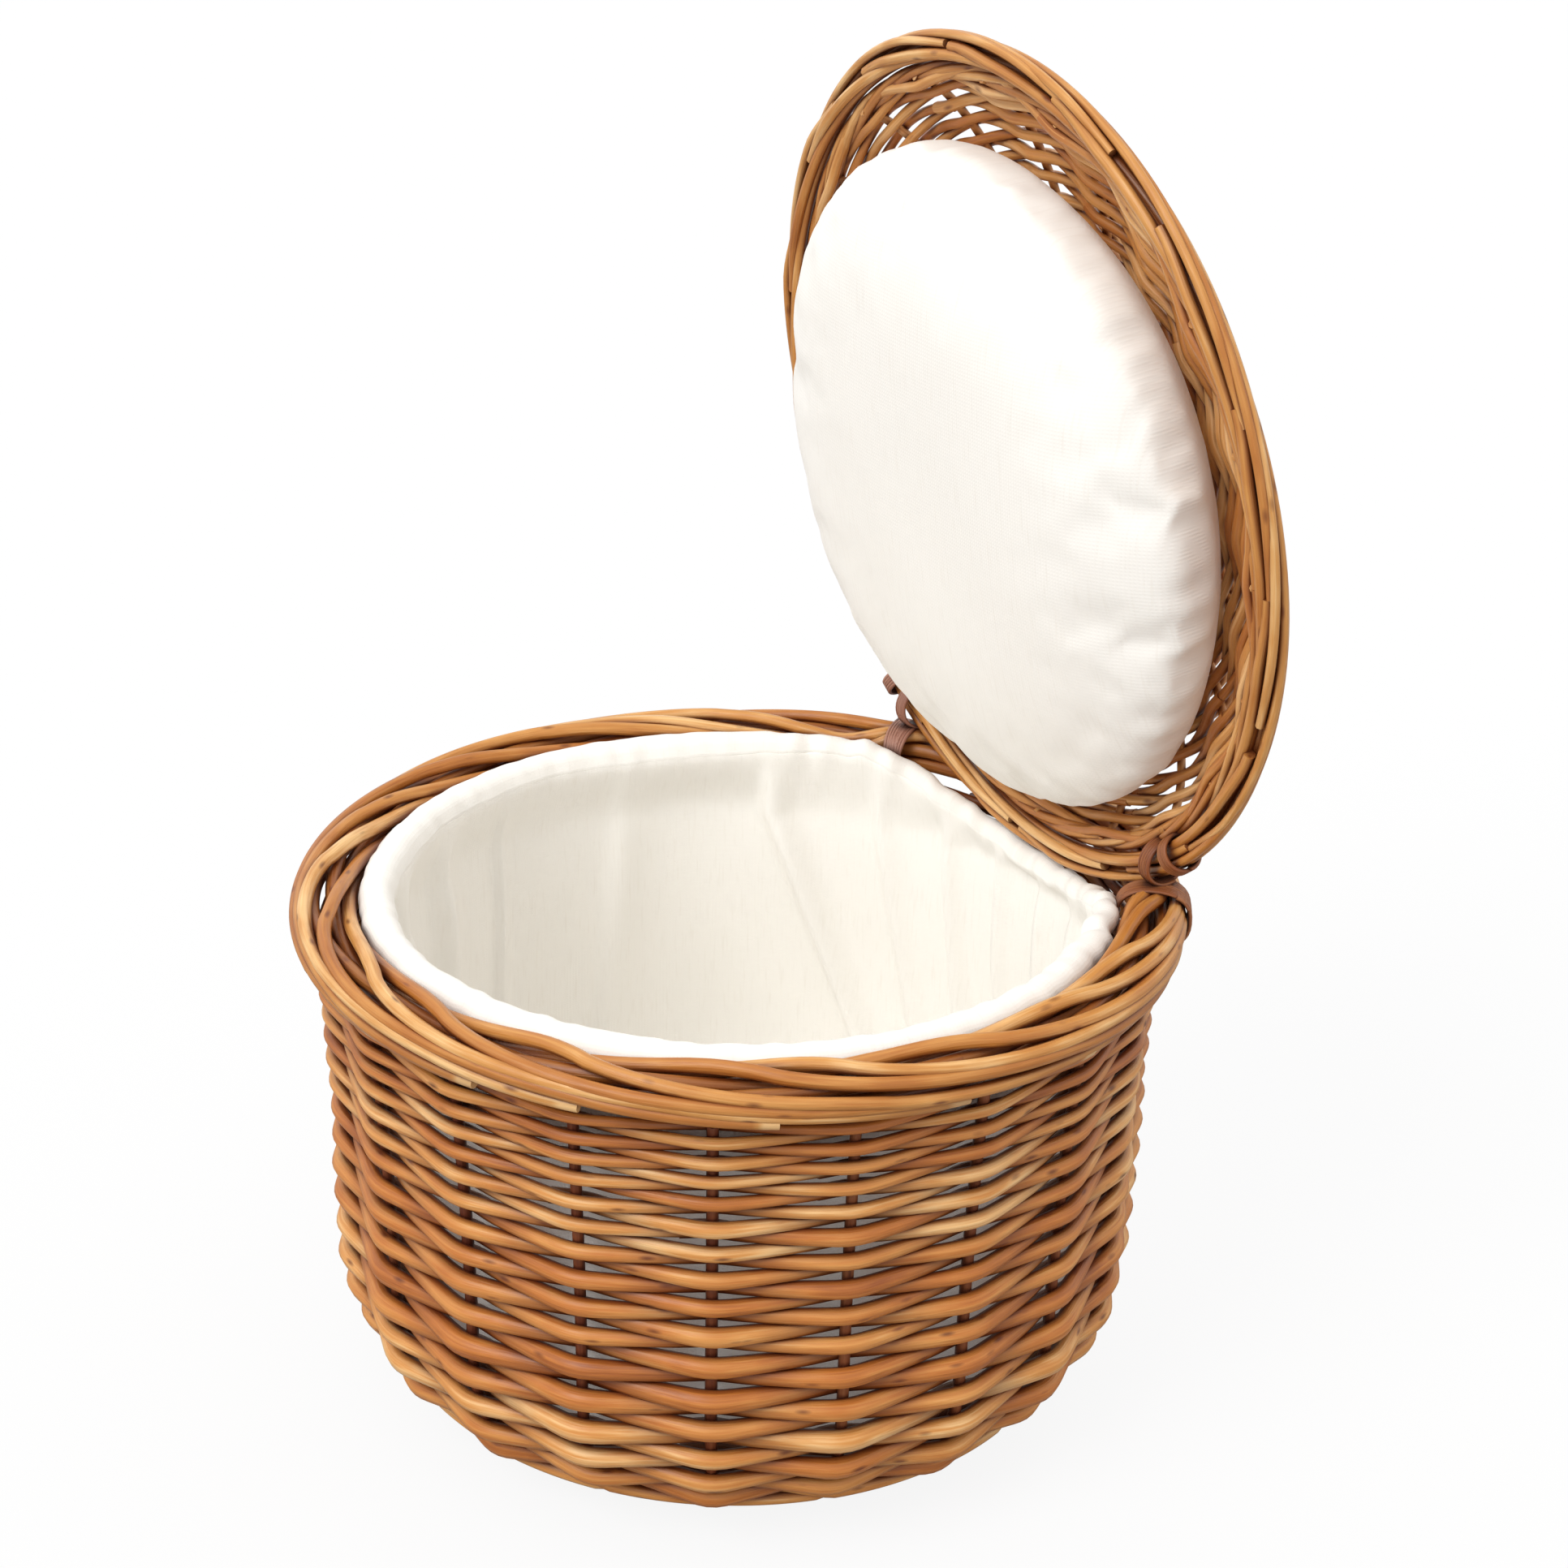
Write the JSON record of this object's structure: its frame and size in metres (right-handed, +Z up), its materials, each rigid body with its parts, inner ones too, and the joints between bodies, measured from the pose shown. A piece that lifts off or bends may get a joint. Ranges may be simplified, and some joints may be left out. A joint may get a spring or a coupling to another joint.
{
  "type": "egg basket",
  "caption": "Round woven willow basket with a rolled border, a cloth lining and a shallow padded lid hinged on two split-willow ties.",
  "frame": {"origin": "middle of the flat underside of the base, on the surface the basket stands on", "axes": "+Z up through the middle of the mouth, +Y from the middle towards the lid's hinge, X along the hinge"},
  "size_m": [0.2984, 0.2987, 0.4574],
  "materials": {
    "willow_weave": "varnished willow rods",
    "willow_border": "varnished willow rods, pale",
    "willow_frame": "bare willow rods, dark",
    "cotton": "plain-woven off-white cotton",
    "split_willow": "dark split willow skein"
  },
  "bodies": {
    "basket": {"base_disc": "willow_weave", "base_sticks": "willow_frame", "wale_1": "willow_weave", "wale_2": "willow_weave", "wale_3": "willow_weave", "wale_4": "willow_weave", "stake_01": "willow_frame", "stake_02": "willow_frame", "stake_03": "willow_frame", "stake_04": "willow_frame", "stake_05": "willow_frame", "stake_06": "willow_frame", "stake_07": "willow_frame", "stake_08": "willow_frame", "stake_09": "willow_frame", "stake_10": "willow_frame", "stake_11": "willow_frame", "stake_12": "willow_frame", "stake_13": "willow_frame", "stake_14": "willow_frame", "stake_15": "willow_frame", "stake_16": "willow_frame", "stake_17": "willow_frame", "stake_18": "willow_frame", "stake_19": "willow_frame", "stake_20": "willow_frame", "weave_outer": "willow_weave", "weave_inner": "willow_weave", "border_rod_1": "willow_border", "border_rod_2": "willow_border", "border_rod_3": "willow_border", "border_rod_4": "willow_border", "border_rod_5": "willow_border", "hinge_rod_1": "willow_border", "hinge_rod_2": "willow_border", "lining": "cotton", "tie_left": "split_willow", "tie_right": "split_willow"},
    "lid": {"lid_rod_1": "willow_border", "lid_rod_2": "willow_border", "lid_rod_3": "willow_border", "lid_weave": "willow_weave", "lid_sticks": "willow_frame", "lid_pad": "cotton", "lid_wrap_left": "split_willow", "lid_wrap_right": "split_willow"}
  },
  "joints": [
    {"name": "lid_hinge", "type": "hinge", "parent": "basket", "child": "lid", "pos_m": [0, 0.118, 0.19669], "axis": [-1, 0, 0], "range_deg": [-82, 18]}
  ]
}
